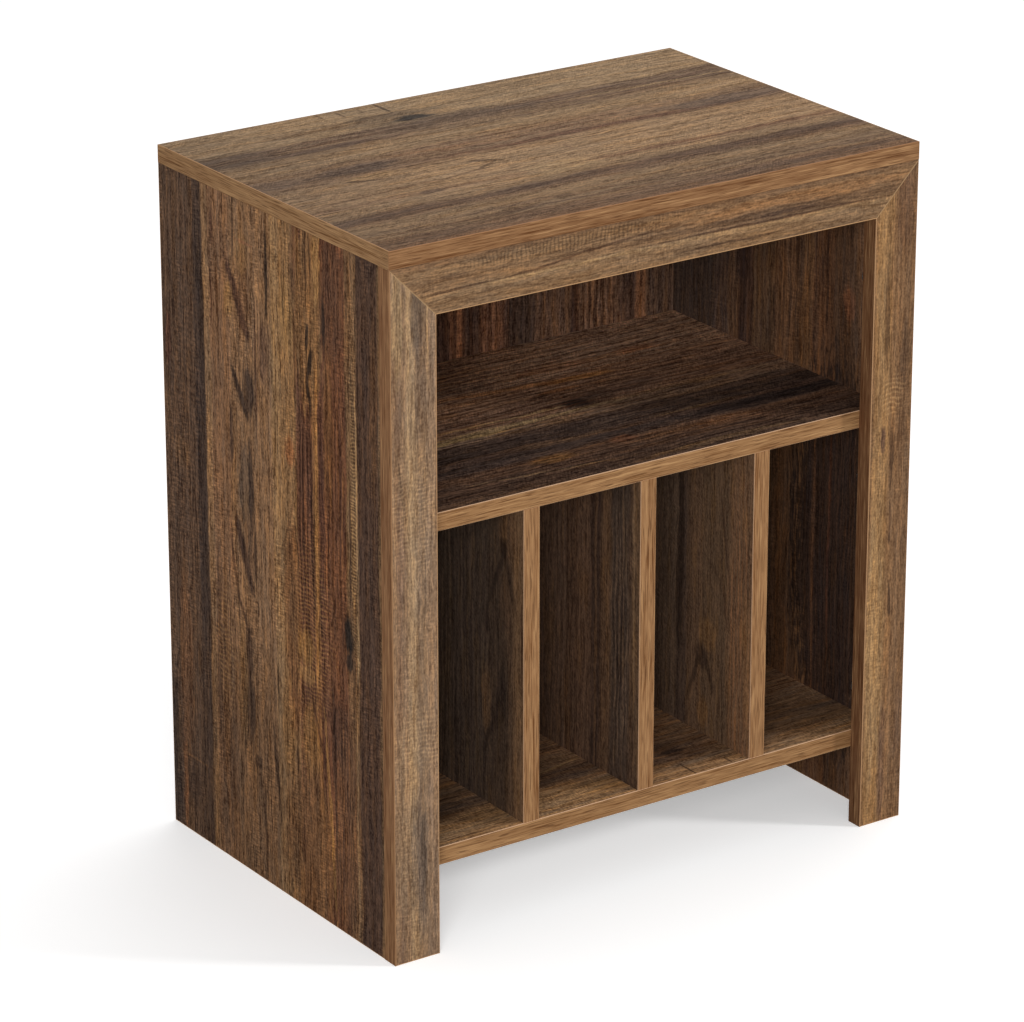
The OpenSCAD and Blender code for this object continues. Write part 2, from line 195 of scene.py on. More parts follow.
def make_lines():
    """Fine lines side by side within a patch. Turns counts the lines per mm along and across the grain."""
    takes = {"Print": "Vector", "Patch": "Float", "Turns": "Vector"}
    tree, given, result = open_group("fine lines", takes, {"Line": "Float"})
    side_noise = grain_noise(tree, given["Print"], length=70, breadth=9, detail=1.0, offset=2.2)
    along_noise = grain_noise(tree, given["Print"], length=22, breadth=16, detail=1.0, offset=4.4)
    sideways = reckon(tree, "MULTIPLY_ADD", side_noise, 9.0, -4.5)
    lengthwise = reckon(tree, "MULTIPLY_ADD", along_noise, 10.0, -5.0)
    sway = put(tree, "CombineXYZ", {"X": lengthwise, "Y": sideways}).outputs[0]
    swayed = put(tree, "VectorMath", {0: given["Print"], 1: sway}, operation="ADD").outputs[0]
    turns = put(tree, "VectorMath", {0: swayed, 1: given["Turns"]}, operation="DOT_PRODUCT").outputs["Value"]
    wave = reckon(tree, "SINE", reckon(tree, "MULTIPLY", turns, 2 * math.pi))
    line = reckon(tree, "MULTIPLY", ramp_up(tree, wave, -0.4, 0.9), given["Patch"])
    tree.links.new(line, result["Line"])
    return tree


wander = make_wander()
clouds = make_clouds()
streaks = make_streaks()
saw_marks = make_saw_marks()
soft_patch = make_soft_patch()
fine_lines = make_lines()


def lay_planks(tree, across, start, planks, joint):
    """Planks side by side: widths in mm and colours, laid out from start, with joints as soft as joint."""
    total = sum(width for width, _ in planks)
    ramp = put(tree, "ValToRGB", {0: ramp_up(tree, across, start, start + total, curve="LINEAR")})
    stops = ramp.color_ramp.elements
    stops[0].color = swatch(*planks[0][1])
    stops[1].color = swatch(*planks[-1][1])
    edge = 0.0
    for (width, colour), (_, following) in zip(planks, planks[1:]):
        edge += width
        for place, shown in ((edge - joint / 2, colour), (edge + joint / 2, following)):
            stops.new(min(max(place / total, 0.001), 0.999)).color = swatch(*shown)
    return ramp.outputs["Color"]


def lay_soft_patch(tree, grain, ragged, colour, middle, half_size, shade, share,
        edge=0.7, lean=0.0, pitch_along=0.0, pitch_across=0.0):
    """Lays one soft patch over colour: mostly a stain in the print, in a few places painted shade or a
    painted highlight. With a pitch, it is a set of fine lines that far apart, in mm.
    """
    mask = put_group(tree, soft_patch, {"Print": grain, "Ragged": ragged, "Middle": (*middle, 0),
        "Size": (*half_size, 1), "Lean": lean, "Edge": edge, "Share": share})["Mask"]
    if pitch_along or pitch_across:
        turns = [1 / pitch if pitch else 0 for pitch in (pitch_along, pitch_across)]
        sockets = {"Print": grain, "Patch": mask, "Turns": (*turns, 0)}
        mask = put_group(tree, fine_lines, sockets)["Line"]
    return blend(tree, mask, colour, swatch(*shade))


def print_face(tree, place, face):
    """One printed face, from its planks up to its saw marks, and a painted highlight along each mitre. Place
    is in mm, along the grain first.
    """
    grain = put_group(tree, wander, {"Print": place, "Reach": face["wander"]})["Print"]
    rough = grain_noise(tree, grain, length=16, breadth=3, detail=3.0, offset=7.7)
    ragged = reckon(tree, "MULTIPLY_ADD", rough, 1.3, -0.65)
    across = put(tree, "SeparateXYZ", {0: grain}).outputs["Y"]
    colour = lay_planks(tree, across, face["start"], face["planks"], face["joint"])
    for spot in face["soft_patches"]:
        colour = lay_soft_patch(tree, grain, ragged, colour, *spot)
    colour = put_group(tree, clouds, {"Print": grain, "Ground": colour, "Warm": face["warm"],
        "Cool": face["cool"], "Share": face["clouds"]})["Color"]
    lined = put_group(tree, streaks, {"Print": grain, "Ground": colour, "Dark": face["dark"],
        "Pale": face["pale"], "Strength": face["strength"], "Pores": face["pores"]})
    sawn = put_group(tree, saw_marks, {"Print": place, "Slant": face["slant"], "Cover": face["cover"]})
    ridges = reckon(tree, "MULTIPLY", sawn["Ridge"], face["ridges"])
    scratches = reckon(tree, "MULTIPLY", sawn["Scratch"], face["scratches"])
    colour = blend(tree, ridges, lined["Color"], face["pale"], "MULTIPLY")
    colour = blend(tree, scratches, colour, face["dark"], "MULTIPLY")
    mitre_highlight_half_size = (60, 0.8)
    mitre_highlight_colour = (178, 146, 108)
    # Each mitre gets a thin pale line: a painted highlight along its edge.
    for middle, lean in face["mitres"]:
        colour = lay_soft_patch(tree, place, 0.0, colour, middle, mitre_highlight_half_size, mitre_highlight_colour, share=0.75,
            edge=0.8, lean=lean)
    relief = reckon(tree, "MULTIPLY_ADD", sawn["Scratch"], -0.4, lined["Relief"])
    return colour, relief


def open_material(name):
    """A new material without nodes, and its place vector in mm."""
    material = bpy.data.materials.new(name)
    material.use_nodes = True
    material.node_tree.nodes.clear()
    metres = put(material.node_tree, "TexCoord").outputs["Object"]
    in_mm = put(material.node_tree, "VectorMath", {0: metres, 1: (1 / MM,) * 3}, operation="MULTIPLY")
    return material, material.node_tree, in_mm.outputs[0]


def close_material(tree, colour, relief, roughness, depth=0.0002, gloss=0.04, metal=0.0):
    """Joins colour, relief and roughness to the shader of a material. Depth is the relief's, in metres."""
    bump = put(tree, "Bump", {"Height": relief, "Strength": 0.4, "Distance": depth}).outputs[0]
    skin = put(tree, "BsdfPrincipled", {"Base Color": colour, "Roughness": roughness, "Normal": bump,
        "Specular IOR Level": gloss, "Metallic": metal})
    put(tree, "OutputMaterial", {"Surface": skin.outputs[0]})


def finish_node(node, material):
    """Gives a node of the frame its finish."""
    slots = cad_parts[node].material_slots
    if not slots:
        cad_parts[node].data.materials.append(material)
    for entry in slots:
        entry.material = material


# How a print lies on a board: the axis along its grain, the one across it, and the one through the board
GRAIN_AXES = {"X": "XYZ", "Z": "ZYX", "upright front": "ZXY", "level front": "XZY"}
skin_thickness = 0.45
pale_chip = swatch(150, 118, 78)
dark_chip = swatch(205, 176, 132)


def board_finish(board, grain, low_face, high_face):
    """Finish of a board: a print on each broad face, and bare particle board where a bore cuts into it.
    Grain tells how the print lies, and low and high are the faces with the smaller and larger place."""
    material, tree, in_mm = open_material(board + "_print")
    along, across, through = GRAIN_AXES[grain]
    axis = "XYZ".index(through)
    low, high = (corner[axis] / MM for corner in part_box(board))
    middle = (low + high) / 2
    parts = put(tree, "SeparateXYZ", {0: in_mm}).outputs
    place = put(tree, "CombineXYZ", {"X": parts[along], "Y": parts[across], "Z": parts[through]}).outputs[0]
    colour, relief = print_face(tree, place, low_face)
    if high_face is not low_face:
        other_colour, other_relief = print_face(tree, place, high_face)
        upper = reckon(tree, "GREATER_THAN", parts[through], middle)
        colour = blend(tree, upper, colour, other_colour)
        relief = put(tree, "Mix", {0: upper, 2: relief, 3: other_relief}).outputs[0]
    off_middle = reckon(tree, "ABSOLUTE", reckon(tree, "SUBTRACT", parts[through], middle))
    core = reckon(tree, "LESS_THAN", off_middle, (high - low) / 2 - skin_thickness)
    chips = put(tree, "TexVoronoi", {"Vector": in_mm, "Scale": 0.55}).outputs["Color"]
    chip = put(tree, "SeparateXYZ", {0: chips}).outputs["X"]
    colour = blend(tree, core, colour, blend(tree, chip, pale_chip, dark_chip))
    close_material(tree, colour, relief, ramp_up(tree, relief, 0.3, 1.1, 0.72, 0.52))
    finish_node(board, material)


# The faces' prints. Planks are (width, colour) from start on, and joint is how softly one runs into the
# next. A soft patch is (place), (half length, half width), (colour), share, and where needed the softness
# of its edge, its lean, and the pitch along and across the grain where it is a set of fine lines; most are
# stains in the print, and one on the top is painted shade. Mitres are the middles and leans of the pale
# lines along the mitres, painted highlights on their edges. Places and widths are in mm, along the grain
# first. Warm, cool, dark and pale multiply the colour below them. Wander is how far the grain strays, cover
# the share of the face that has saw marks and slant how far they lean. The rest are strengths from 0 to
# about 1.
brown_wood = {
    "warm": (1.13, 1.0, 0.80, 1), "cool": (0.87, 0.98, 1.17, 1),
    "dark": (0.34, 0.28, 0.26, 1), "pale": (1.75, 1.68, 1.55, 1),
    "wander": 9.0, "joint": 3.0, "clouds": 0.8, "strength": 1.0, "pores": 0.3,
    "slant": 0.1, "cover": 0.6, "ridges": 0.45, "scratches": 0.3,
    "soft_patches": [], "mitres": []}
top_print_and_painted_shade = {**brown_wood, "start": -200, "joint": 8, "wander": 14, "cool": (0.90, 0.97, 1.08, 1),
    "planks": [(8, (110, 82, 60)), (20, (110, 85, 64)), (27, (121, 97, 73)), (20, (129, 104, 78)),
        (7, (117, 92, 70)), (16, (102, 80, 63)), (10, (124, 100, 76)), (17, (141, 114, 86)),
        (7, (136, 106, 80)), (70, (146, 118, 89)), (18, (122, 96, 73)), (30, (128, 102, 78)),
        (32, (139, 113, 85)), (13, (128, 103, 78)), (33, (114, 92, 72)), (72, (143, 118, 90))],
    "soft_patches": [
        ((-126, 192), (1.6, 12), (90, 68, 50), 0.7), ((-105, 187), (1.6, 11), (86, 64, 48), 0.7),
        ((-82, 185), (1.5, 8), (94, 72, 54), 0.6), ((-59, 182), (2, 20), (70, 54, 42), 0.85),
        ((-85, 160), (54, 2.6), (84, 66, 52), 0.7), ((-70, 147), (56, 14), (94, 78, 63), 0.7, 0.9),
        ((-50, 138), (22, 8), (50, 44, 40), 0.95, 0.6), ((-15, 128), (44, 8), (102, 84, 68), 0.65),
        ((-160, 152), (64, 6), (116, 92, 70), 0.5), ((-275, 112), (54, 18), (86, 69, 56), 0.85),
        ((-180, 98), (85, 5), (86, 66, 53), 0.75),
        ((-160, 114), (95, 16), (92, 69, 54), 0.8, 0.7, 0, 0, 10),
        ((0, 115), (120, 10), (92, 74, 60), 0.7),
        ((200, 108), (140, 22), (90, 68, 54), 0.8, 0.7, 0, 0, 8.5),
        ((210, 104), (115, 1.6), (172, 142, 104), 0.6),
        ((130, 90), (170, 2), (96, 74, 57), 0.6, 0.7, 0.03),
        ((-10, 38), (150, 20), (108, 78, 59), 0.6, 0.7, 0, 0, 9),
        ((-192, 26), (50, 11), (86, 69, 58), 0.8), ((-285, 25), (36, 14), (92, 74, 62), 0.65),
        ((80, 12), (200, 4.6), (100, 72, 56), 0.8), ((245, 22), (84, 12), (90, 73, 62), 0.7),
        ((-190, -1), (30, 6), (168, 134, 94), 0.65),
        ((-202, -9), (22, 2.6), (84, 63, 46), 0.85, 0.7, -0.3),
        ((-77, -18), (15, 3.2), (80, 62, 48), 0.85, 0.7, -0.35),
        ((-80, -30), (18, 2), (92, 70, 52), 0.8, 0.7, 0.45),
        ((-120, -42), (32, 1.6), (106, 80, 59), 0.75, 0.7, 0.15),
        ((-215, -51), (80, 1.6), (104, 78, 58), 0.75, 0.7, 0.1),
        ((-120, -2), (28, 1.6), (98, 74, 54), 0.65), ((16, -25), (2, 9), (110, 82, 63), 0.6),
        ((218, -36), (24, 1.4), (102, 78, 57), 0.7, 0.7, 0.12),
        ((-55, -56), (54, 1.4), (112, 86, 64), 0.65),
        ((150, -72), (170, 3.2), (106, 77, 58), 0.75, 0.7, 0.01),
        ((190, -79), (130, 1.8), (108, 80, 61), 0.65), ((-240, -108), (76, 11), (88, 67, 52), 0.75),
        ((0, -107), (160, 5), (90, 69, 54), 0.65), ((210, -111), (130, 11), (84, 64, 50), 0.8),
        ((-168, -73), (13, 4), (88, 70, 57), 0.65),
        ((0, -168), (340, 28), (96, 73, 56), 0.6, 0.7, 0, 0, 11),
        ((20, -164), (290, 1.8), (94, 71, 54), 0.7), ((-270, -183), (64, 6), (92, 69, 51), 0.65),
        ((180, -182), (130, 6), (92, 71, 56), 0.65), ((-25, -72), (40, 18), (158, 131, 97), 0.5),
        # A broad soft dark patch over the left end is painted shade: the top grows darker towards the left.
        ((-300, 25), (130, 170), (84, 68, 56), 0.3, 1.0),
    ],
    "slant": -0.8, "cover": 0.5, "strength": 0.75, "ridges": 0.34, "scratches": 0.24, "clouds": 0.45}
plain_print = {**brown_wood, "start": -310, "joint": 4,
    "planks": [(46, (110, 82, 60)), (38, (84, 64, 49)), (60, (120, 90, 62)), (34, (98, 70, 50)),
        (58, (128, 98, 68)), (42, (82, 63, 49)), (50, (112, 82, 57)), (36, (96, 70, 51)),
        (56, (126, 96, 67)), (44, (88, 66, 49)), (60, (116, 88, 62)), (46, (102, 76, 56)),
        (50, (120, 92, 64))]}
board_finish("top_panel", "X", plain_print, top_print_and_painted_shade)

# ---------------------------------------------------------------------------------------------------
# Sides. The same board, with the grain upright. Outside they show dark and reddish planks with pointed
# figures, a golden streak and a knot. They stand on the floor and carry the shelves.

side_print = {**brown_wood, "start": -182, "joint": 2, "wander": 8, "warm": (1.15, 1.07, 0.92, 1),
    "cool": (0.86, 0.93, 1.04, 1),
    "planks": [(3, (112, 86, 62)), (35, (83, 62, 50)), (6, (116, 88, 64)), (14, (120, 89, 63)),
        (38, (113, 75, 54)), (8, (95, 63, 48)), (9, (132, 93, 61)), (29, (108, 73, 54)),
        (27, (144, 109, 75)), (15, (152, 118, 84)), (33, (139, 106, 78)), (40, (139, 105, 76)),
        (37, (132, 98, 72)), (10, (144, 110, 79)), (18, (72, 57, 49)), (60, (94, 72, 57))],
    "soft_patches": [
        ((603, -62), (92, 26), (134, 99, 66), 0.85, 0.3), ((626, -103), (62, 20), (94, 66, 50), 0.8, 0.2),
        ((602, -90), (26, 2.8), (50, 38, 32), 0.9, 0.8),
        ((580, -62), (14, 3), (48, 37, 31), 0.9, 0.7, -0.1),
        ((556, -66), (15, 3.8), (44, 34, 29), 0.95, 0.7, -0.2),
        ((536, -61), (12, 2.4), (56, 42, 35), 0.85),
        ((520, -65), (16, 2.8), (48, 37, 31), 0.85, 0.7, 0.15),
        ((653, -60), (30, 1.8), (68, 48, 36), 0.75), ((650, -67), (26, 1.4), (68, 48, 36), 0.75),
        ((650, -38), (36, 5.5), (100, 70, 50), 0.7), ((660, -78), (42, 6.5), (164, 124, 80), 0.75, 0.5),
        ((590, -24), (34, 12), (150, 115, 75), 0.6), ((555, -38), (52, 2.2), (92, 63, 44), 0.75),
        ((460, -28), (14, 9), (152, 94, 58), 0.6), ((300, -30), (95, 15), (110, 74, 50), 0.75, 0.5),
        ((360, -60), (150, 22), (64, 40, 30), 0.9, 0.6, 0.03, 0, 6.8),
        ((430, -104), (130, 16), (140, 92, 56), 0.7, 0.7, 0, 0, 6),
        ((270, -50), (19, 14), (148, 110, 66), 0.6), ((244, -52), (9, 16), (158, 118, 76), 0.6, 0.5),
        ((220, -72), (14, 34), (88, 58, 44), 0.7, 0.4), ((175, -58), (42, 15), (146, 106, 63), 0.65),
        ((200, -29), (26, 12), (116, 78, 53), 0.7), ((172, -18), (40, 12), (150, 110, 69), 0.65),
        ((136, -35), (31, 2.3), (60, 43, 34), 0.9, 0.7, 0.09),
        ((66, -56), (84, 46), (124, 90, 62), 0.8, 0.4), ((65, -43), (19, 5.5), (94, 64, 45), 0.75),
        ((64, -56), (80, 44), (104, 72, 46), 0.4, 0.5, 0, 4.6),
        ((290, -62), (85, 40), (178, 132, 84), 0.28, 0.8, 0, 4.3),
        ((185, -75), (40, 2.1), (80, 53, 40), 0.85, 0.7, 0.31),
        ((80, -93), (86, 2.3), (76, 51, 38), 0.9, 0.7, 0.09),
        ((120, -101), (125, 3.2), (74, 52, 40), 0.75, 0.7, 0.03),
        ((110, -91), (108, 2.6), (166, 120, 72), 0.7, 0.7, 0.08),
        ((110, -121), (122, 20), (94, 68, 52), 0.75, 0.4), ((208, -109), (32, 11), (74, 54, 45), 0.75),
        ((110, -118), (110, 18), (130, 92, 64), 0.6, 0.7, 0, 0, 5),
        ((130, -138.5), (130, 1.6), (152, 118, 84), 0.75),
        ((300, -127), (38, 13), (92, 67, 50), 0.5, 0.9), ((308, -127), (18, 9), (42, 37, 35), 0.95, 0.5),
        ((282, -126), (9, 6), (50, 42, 38), 0.85, 0.5), ((300, -141), (32, 2.6), (174, 142, 104), 0.7),
        ((430, -132), (108, 6), (150, 118, 84), 0.6, 0.8), ((410, -131), (82, 2), (80, 57, 46), 0.75),
        ((600, -137), (78, 3.2), (142, 108, 77), 0.7), ((545, -172), (98, 6), (102, 74, 53), 0.65),
        ((500, -95), (72, 8), (132, 92, 57), 0.65), ((622, 8), (48, 2.4), (46, 36, 31), 0.9),
        ((545, 16), (30, 8), (98, 74, 61), 0.7), ((220, -1), (21, 1.8), (58, 42, 33), 0.85),
        ((120, 4), (44, 2.4), (52, 40, 34), 0.9, 0.7, 0.1), ((55, 27), (60, 2), (62, 45, 36), 0.85),
        ((92, 84), (64, 1.8), (78, 57, 43), 0.75), ((230, 106), (94, 4.2), (82, 60, 48), 0.75),
        ((230, 96), (74, 2), (82, 58, 45), 0.75), ((575, 108), (28, 1.8), (90, 58, 42), 0.75),
        ((645, 104), (17, 2), (82, 54, 42), 0.75), ((655, 68), (31, 2.2), (82, 62, 50), 0.75),
        ((583, 61), (38, 7.5), (68, 47, 40), 0.9, 0.6, 0.52), ((604, 50), (44, 13), (114, 80, 57), 0.5),
        ((632, 52), (22, 12), (148, 111, 74), 0.65), ((580, 77), (18, 7), (146, 110, 70), 0.65),
        ((525, 29), (64, 2.2), (86, 60, 47), 0.75), ((493, 60), (24, 5.4), (64, 49, 41), 0.9, 0.7, 0.6),
        ((497, 44), (26, 10), (74, 58, 49), 0.85, 0.6), ((502, 36), (19, 1.6), (56, 42, 36), 0.85),
        ((402, 52), (40, 13), (96, 78, 64), 0.8, 0.5), ((402, 42), (48, 5), (66, 51, 43), 0.85),
        ((443, 75), (32, 2.8), (68, 50, 41), 0.85), ((330, 56), (38, 6), (68, 49, 41), 0.9, 0.7, 0.35),
        ((332, 37), (31, 2.4), (64, 48, 40), 0.85), ((340, 48), (32, 8), (100, 75, 58), 0.65),
        ((318, 75), (37, 2), (84, 59, 46), 0.8, 0.7, 0.17),
        ((270, 61), (18, 2.8), (80, 57, 44), 0.85, 0.7, 0.5), ((225, 51), (32, 6), (74, 54, 43), 0.85),
        ((172, 51), (32, 10), (62, 49, 43), 0.9, 0.6), ((142, 61), (17, 2.2), (62, 46, 38), 0.8),
        ((195, 64), (60, 7.5), (152, 112, 71), 0.65), ((122, 37), (8, 5), (70, 54, 44), 0.85),
        ((180, 169), (92, 12), (120, 85, 60), 0.7, 0.5), ((53, 158), (24, 12), (62, 48, 41), 0.75),
        ((50, 177), (54, 4), (122, 83, 57), 0.65), ((510, 190), (27, 6), (94, 60, 49), 0.6),
        ((400, 167), (15, 15), (118, 88, 62), 0.5), ((70, 194), (86, 10), (56, 46, 41), 0.8),
        ((82, 158), (1.4, 24), (134, 98, 69), 0.6), ((560, -5), (130, 8), (154, 119, 82), 0.6),
        ((643, 48), (1.5, 14), (154, 104, 76), 0.55), ((95, 62), (150, 95), (84, 61, 44), 0.5, 0.8),
        ((230, 92), (70, 16), (168, 130, 88), 0.3, 0.9, 0, 5),
        ((430, 160), (200, 26), (132, 98, 74), 0.22, 0.9, 0, 6),
        ((430, -104), (120, 19), (66, 41, 32), 0.65, 0.6, 0.02, 0, 6.8),
        ((400, -136), (170, 5), (84, 62, 46), 0.5, 1.0),
        ((445, -137), (125, 4.5), (196, 156, 108), 0.45, 1.3, 0, 3.4),
        ((390, -74), (170, 2.2), (174, 124, 74), 0.65, 0.7, -0.02),
        ((450, -142), (110, 1.2), (176, 140, 100), 0.6),
    ],
    "clouds": 0.85, "strength": 0.95, "pores": 0.5, "slant": 0.12, "cover": 0.5, "ridges": 0.75,
    "scratches": 0.45}
inner_side_print = {**brown_wood, "start": -185, "joint": 3,
    "planks": [(40, (110, 82, 62)), (8, (116, 86, 65)), (8, (101, 75, 57)), (28, (91, 66, 49)),
        (10, (98, 69, 50)), (26, (107, 75, 54)), (18, (116, 84, 59)), (10, (100, 73, 54)),
        (32, (119, 86, 62)), (35, (107, 81, 61)), (14, (90, 66, 53)), (10, (78, 58, 49)),
        (18, (113, 85, 65)), (22, (96, 75, 63)), (106, (80, 64, 55))],
    "soft_patches": [
        ((250, -110), (200, 70), (54, 42, 37), 0.9, 0.3), ((525, 49), (32, 10), (64, 49, 45), 0.65),
        ((560, -38), (34, 2.6), (58, 41, 33), 0.8), ((540, -88), (62, 1.7), (56, 39, 32), 0.75),
        ((485, -3), (22, 1.6), (56, 39, 32), 0.75), ((520, -124), (17, 8), (132, 85, 58), 0.6),
        ((540, 10), (120, 90), (70, 50, 40), 0.5, 0.5, 0, 0, 7),
        ((250, -75), (170, 2.2), (118, 82, 58), 0.6), ((280, -99), (150, 1.7), (98, 63, 47), 0.6),
        ((250, -110), (180, 60), (78, 56, 45), 0.5, 0.5, 0, 0, 6),
    ],
    "cover": 0.5, "strength": 0.75, "pores": 0.2}
board_finish("left_side_panel", "Z", side_print, inner_side_print)
board_finish("right_side_panel", "Z", inner_side_print, side_print)

# ---------------------------------------------------------------------------------------------------
# Shelves and back. The same printed board. The middle shelf is the floor of the open compartment, the
# bottom shelf that of the record bays, and the back, with upright grain, closes both. Cams hold them to
# the sides.

# The shelf's plank colours are the print, but they are laid paler from the front of the shelf to the back as
# painted light for the deep compartment.
shelf_print_and_painted_light = {**brown_wood, "start": -182, "joint": 5, "wander": 10,
    "planks": [(12, (94, 73, 60)), (18, (91, 70, 58)), (18, (100, 76, 62)), (20, (105, 79, 63)),
        (10, (88, 70, 61)), (10, (75, 61, 55)), (14, (92, 72, 62)), (22, (82, 66, 58)),
        (12, (96, 76, 65)), (8, (138, 111, 91)), (12, (129, 102, 83)), (8, (138, 109, 88)),
        (30, (128, 99, 81)), (24, (140, 108, 87)), (30, (160, 123, 98)), (120, (174, 138, 112))],
    "soft_patches": [
        ((23, 57), (110, 5), (184, 128, 82), 0.7, 0.7, -0.105), ((88, 51), (36, 6), (200, 142, 86), 0.65),
        ((83, 88), (42, 9), (172, 118, 82), 0.55), ((178, 90), (24, 8), (170, 112, 76), 0.55),
        ((43, 30), (24, 5), (164, 106, 62), 0.6), ((-150, -34), (90, 4), (178, 146, 98), 0.8, 0.6),
        ((-40, -27), (110, 4.5), (176, 146, 104), 0.7, 0.6), ((-40, -10), (95, 2), (164, 134, 96), 0.7),
        ((185, -25), (95, 2), (154, 121, 88), 0.7), ((50, -10), (30, 13), (84, 66, 56), 0.65, 0.9),
        ((38, -11), (15, 10), (40, 34, 32), 0.95, 0.9), ((-35, -87), (56, 6), (116, 90, 70), 0.7, 0.5),
        ((128, -82), (58, 2.4), (144, 115, 86), 0.65), ((205, -101), (100, 11), (53, 43, 40), 0.8),
        ((-70, -125), (24, 9), (138, 100, 63), 0.7), ((16, -117), (15, 8), (126, 84, 62), 0.6),
        ((135, -130), (38, 10), (128, 90, 64), 0.6),
        ((-97, -150), (80, 1.8), (136, 107, 78), 0.7, 0.7, -0.12),
        ((95, -171), (84, 5), (130, 103, 77), 0.65),
        ((60, 20), (240, 40), (96, 64, 47), 0.65, 0.7, 0, 0, 8),
        ((0, -150), (300, 28), (62, 46, 38), 0.6, 0.7, 0, 0, 7),
        ((60, 100), (240, 50), (108, 72, 52), 0.6, 0.7, 0, 0, 10),
        ((0, -60), (300, 30), (60, 46, 40), 0.5, 0.7, 0, 0, 6),
    ],
    "cool": (0.90, 0.96, 1.04, 1), "strength": 1.1, "slant": -0.6, "cover": 0.65, "ridges": 0.6,
    "scratches": 0.45}
bay_floor_print = {**brown_wood, "start": -182, "joint": 5,
    "planks": [(22, (160, 124, 89)), (13, (138, 108, 80)), (12, (126, 98, 73)), (15, (128, 99, 75)),
        (13, (106, 82, 64)), (17, (127, 99, 76)), (20, (138, 108, 82)), (255, (152, 117, 88))],
    "soft_patches": [
        ((-135, -148), (140, 22), (152, 118, 82), 0.65), ((66, -133), (54, 15), (90, 69, 55), 0.8),
        ((72, -128), (12, 6), (56, 44, 38), 0.85), ((61, -167), (1.2, 15), (70, 52, 40), 0.85),
        ((106, -172), (1.2, 9), (76, 56, 42), 0.8), ((215, -140), (72, 17), (120, 92, 68), 0.6),
        ((220, -115), (64, 2), (62, 47, 38), 0.6), ((-60, -118), (44, 4.4), (82, 62, 49), 0.75),
        ((-170, -108), (46, 18), (84, 64, 50), 0.6, 0.7, 0, 0, 9),
        ((-70, -160), (60, 18), (172, 136, 98), 0.6),
        ((-70, -110), (50, 22), (158, 124, 94), 0.35, 0.7, 0, 0, 11),
        ((215, -130), (70, 46), (108, 83, 62), 0.5, 0.4),
        ((-45, -92), (32, 1.7), (164, 132, 94), 0.7, 0.7, 0.2),
        ((-215, -126), (40, 9), (84, 64, 50), 0.7), ((-20, -104), (60, 9), (88, 66, 52), 0.6),
        ((0, -120), (300, 70), (98, 72, 54), 0.3, 0.7, 0, 0, 11),
    ],
    "slant": -0.2, "ridges": 0.5, "scratches": 0.35, "strength": 0.85}
back_print = {**brown_wood, "start": -285, "joint": 3, "wander": 7,
    "planks": [(30, (114, 83, 63)), (20, (150, 103, 74)), (35, (104, 78, 61)), (25, (140, 99, 73)),
        (35, (112, 83, 65)), (30, (136, 99, 75)), (25, (98, 73, 59)), (35, (130, 95, 73)),
        (40, (112, 84, 66)), (18, (104, 76, 62)), (16, (158, 108, 78)), (22, (104, 78, 64)),
        (29, (148, 104, 78)), (34, (90, 70, 59)), (41, (120, 90, 71)), (135, (116, 87, 68))],
    "soft_patches": [
        ((500, 160), (400, 5), (80, 56, 46), 0.85), ((500, 190), (400, 22), (136, 100, 76), 0.9, 0.2),
        ((500, 190), (400, 20), (80, 56, 44), 0.7, 0.4, 0, 0, 8),
        ((500, 226), (400, 10), (92, 70, 60), 0.8), ((500, 241), (400, 6), (150, 104, 74), 0.75),
        ((500, 268), (400, 16), (96, 74, 61), 0.8, 0.4),
        ((500, 20), (400, 40), (80, 53, 41), 0.6, 0.7, 0, 0, 11),
        ((500, -120), (400, 90), (80, 54, 42), 0.6, 0.7, 0, 0, 13),
        ((500, 74), (400, 13), (86, 58, 44), 0.6, 0.7, 0, 0, 7),
    ]}
board_finish("middle_shelf", "X", plain_print, shelf_print_and_painted_light)
board_finish("bottom_shelf", "X", plain_print, bay_floor_print)
board_finish("back_panel", "upright front", back_print, plain_print)

# ---------------------------------------------------------------------------------------------------
# Dividers. Upright boards of the same kind between the two shelves, held by dowels above and by screws
# below and behind. The left faces, which show, have each their own figure in the print.

divider_look = {**brown_wood, "start": -182, "joint": 6, "warm": (1.12, 1.05, 0.88, 1),
    "cool": (0.92, 0.95, 0.98, 1), "strength": 0.7, "pores": 0.15, "slant": -0.5, "cover": 0.4,
    "ridges": 0.35, "scratches": 0.2}
left_divider_print = {**divider_look,
    "planks": [(19, (115, 88, 65)), (10, (92, 71, 55)), (30, (78, 62, 50)), (22, (78, 64, 54)),
        (20, (84, 69, 59)), (20, (98, 81, 69)), (230, (108, 89, 74))],
    "soft_patches": [
        ((385, -155), (28, 14), (100, 74, 54), 0.6), ((368, -148), (9, 6), (46, 36, 31), 0.7, 1.0),
        ((334, -136), (36, 4), (46, 36, 31), 0.75, 1.2, -0.42),
        ((288, -121), (15, 2.2), (50, 38, 33), 0.8),
        ((340, -158), (28, 3.6), (50, 38, 32), 0.6, 1.2, 0.3), ((315, -150), (30, 9), (88, 66, 50), 0.6),
        ((216, -144), (28, 8), (54, 43, 37), 0.75, 1.2),
        ((176, -128), (28, 3), (52, 40, 34), 0.65, 1.1, -0.45),
        ((205, -120), (30, 7), (114, 86, 62), 0.75), ((270, -178), (50, 1.6), (72, 50, 38), 0.7),
        ((220, -90), (200, 60), (62, 48, 42), 0.5, 0.7, 0, 0, 7),
    ]}
centre_divider_print = {**divider_look,
    "planks": [(8, (98, 76, 58)), (10, (88, 68, 54)), (30, (74, 60, 51)), (17, (98, 74, 56)),
        (16, (72, 55, 46)), (40, (100, 76, 60)), (230, (112, 88, 72))],
    "soft_patches": [
        ((300, -172), (110, 2.2), (150, 120, 90), 0.4), ((250, -150), (66, 6), (54, 43, 39), 0.7),
        ((250, -150), (150, 14), (120, 96, 78), 0.5, 0.7, 0, 0, 6),
        ((260, -109), (200, 2), (104, 78, 58), 0.7),
        ((230, -72), (200, 30), (80, 58, 45), 0.6, 0.7, 0, 0, 8),
    ]}
